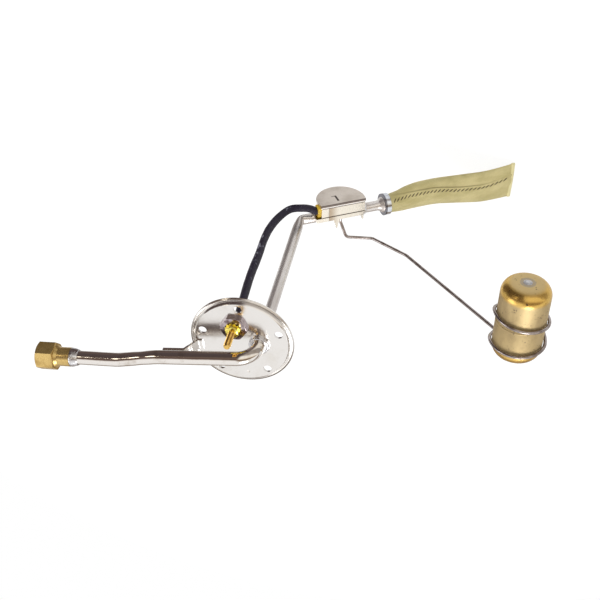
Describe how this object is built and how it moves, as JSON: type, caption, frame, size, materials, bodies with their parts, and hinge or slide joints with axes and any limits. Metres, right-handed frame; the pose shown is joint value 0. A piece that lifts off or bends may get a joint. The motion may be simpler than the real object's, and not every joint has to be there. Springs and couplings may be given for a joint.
{
  "type": "fuel level sender",
  "caption": "Tank flange with outlet and pickup tubes, a hinged float arm that turns a wound resistor in a D-shaped can, and a woven filter sock.",
  "frame": {"origin": "centre of the flange on its gasket side", "axes": "+Z along the flange's axis, out of the tank; +X towards the side that the outlet tube leaves on; +Y along the float arm's hinge"},
  "size_m": [0.3388, 0.0743, 0.2679],
  "materials": {
    "plated_steel": "bright nickel plate, smooth",
    "plated_tube": "bright plated tube",
    "solder": "soft solder, satin",
    "fitting_brass": "machined, lightly tarnished",
    "stud_brass": "turned thread",
    "nut_brass": "bright brass",
    "dark_plated_steel": "bright plated hexagon",
    "insulator": "moulded",
    "wire_sleeve": "varnished braided sleeve",
    "yellow_insulator": "moulded",
    "can_tin": "tinned, satin",
    "lid_tin": "tinned, satin",
    "arm_steel": "drawn wire",
    "card_board": "phenolic",
    "resistance_wire": "wound wire",
    "float_brass": "dull with a polished shoulder",
    "ferrule_steel": "bright crimped ring",
    "sock_cloth": "fine woven mesh"
  },
  "bodies": {
    "unit": {"mounting_flange": "plated_steel", "flange_collar": "solder", "outlet_tube": "plated_tube", "support_strap": "plated_steel", "outlet_fitting": "fitting_brass", "fitting_solder": "solder", "pickup_tube": "plated_tube", "terminal_stud": "stud_brass", "terminal_base_hex": "dark_plated_steel", "terminal_nut": "nut_brass", "terminal_sleeve": "insulator", "terminal_washer": "insulator", "wire_eyelet": "nut_brass", "sender_wire": "wire_sleeve", "wire_grommet": "yellow_insulator", "grommet_rivet": "nut_brass", "rheostat_can": "can_tin", "can_lid": "lid_tin", "bracket_plate": "plated_steel", "tube_clips": "solder", "pivot_bushing": "nut_brass", "resistor_card": "card_board", "resistor_winding": "resistance_wire", "filter_ferrule": "ferrule_steel", "filter_sock": "sock_cloth"},
    "arm": {"pivot_shaft": "arm_steel", "wiper_hub": "nut_brass", "wiper_blade": "nut_brass", "wiper_contact": "solder", "float_arm": "arm_steel", "float_shell_upper": "float_brass", "float_shell_lower": "float_brass", "float_solder": "solder"}
  },
  "joints": [
    {"name": "float_hinge", "type": "hinge", "parent": "unit", "child": "arm", "pos_m": [-0.042, 0, -0.15683], "axis": [0, 1, 0], "range_deg": [-60, 14]}
  ]
}
